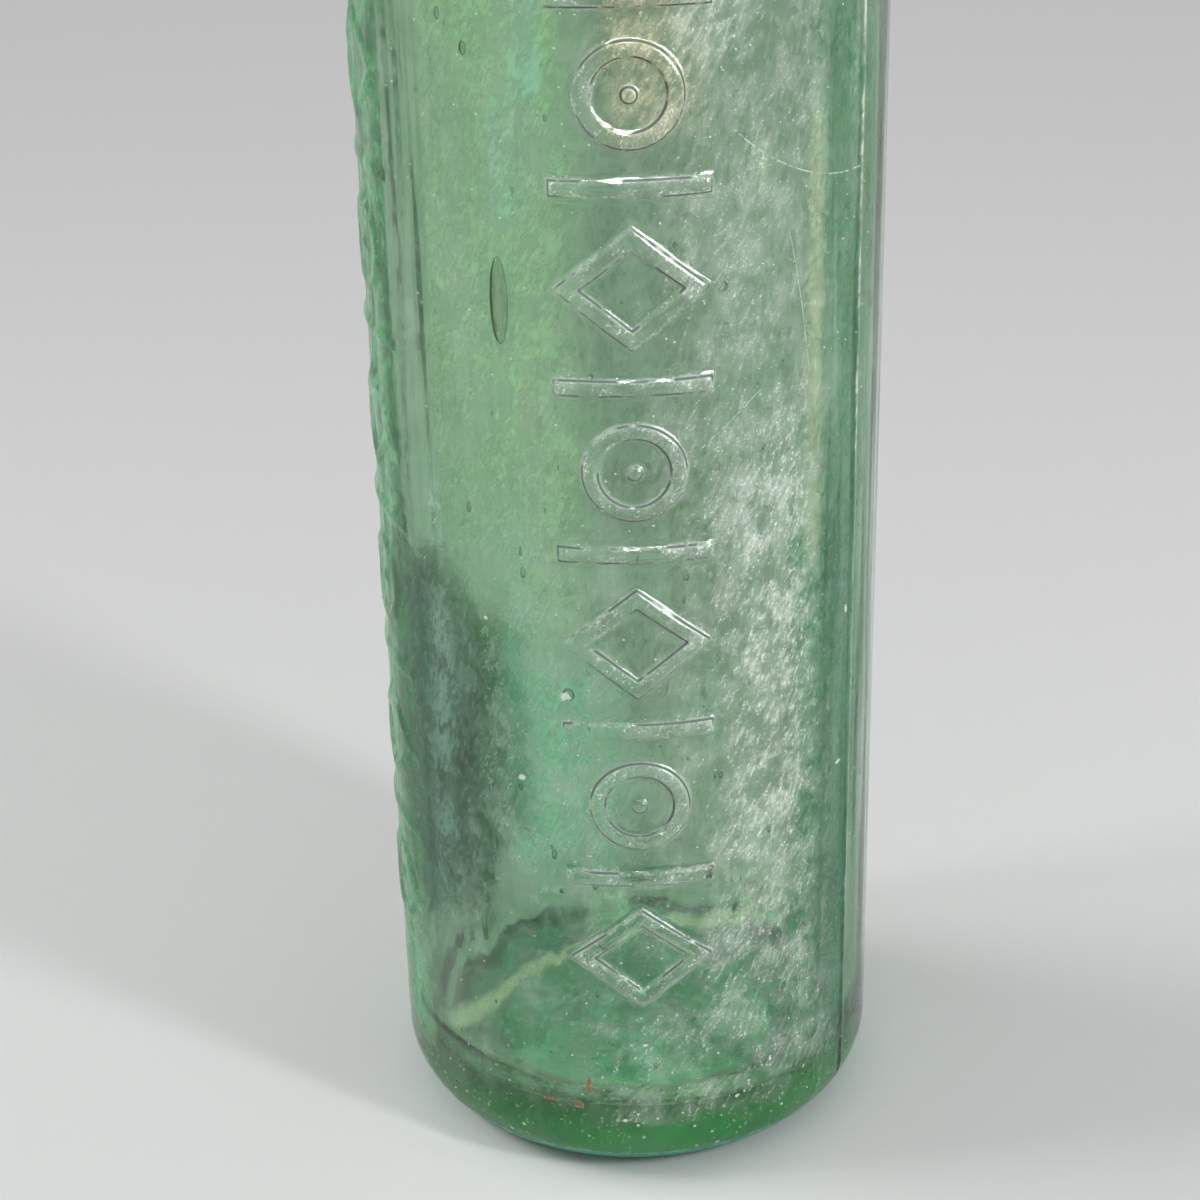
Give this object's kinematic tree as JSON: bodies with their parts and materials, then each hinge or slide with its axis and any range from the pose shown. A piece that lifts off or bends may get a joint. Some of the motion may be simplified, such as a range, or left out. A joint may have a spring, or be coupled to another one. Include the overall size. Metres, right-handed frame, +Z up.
{
  "type": "glass bottle",
  "caption": "Tall round bottle of aqua-green mould-blown glass with columns of raised geometric pattern, a thick lip and a black screw stopper with a rubber sealing ring.",
  "frame": {"origin": "middle of the base, on the surface the bottle stands on", "axes": "+Z up the bottle's axis, -Y towards the pictured front, +X to the right of it"},
  "size_m": [0.0769, 0.0769, 0.3049],
  "materials": {
    "aqua_glass": "clear blown glass with seeds, light haze and faint ripples",
    "ebonite": "moulded hard rubber, satin, worn paler on its edges",
    "ring_rubber": "matt red-brown rubber"
  },
  "bodies": {
    "bottle": {"glass_bottle": "aqua_glass"},
    "ring": {"sealing_ring": "ring_rubber"},
    "stopper": {"screw_stopper": "ebonite"}
  },
  "joints": [
    {"name": "stopper_lift", "type": "slide", "parent": "bottle", "child": "ring", "axis": [0, 0, 1], "range_m": [0, 0.015]},
    {"name": "stopper_turn", "type": "hinge", "parent": "ring", "child": "stopper", "pos_m": [0, 0, 0.2964], "axis": [0, 0, 1], "range_deg": [0, 1080]}
  ],
  "couplings": [
    {"joint": "stopper_lift", "follows": "stopper_turn", "m_per_rad": 0.00079577}
  ]
}
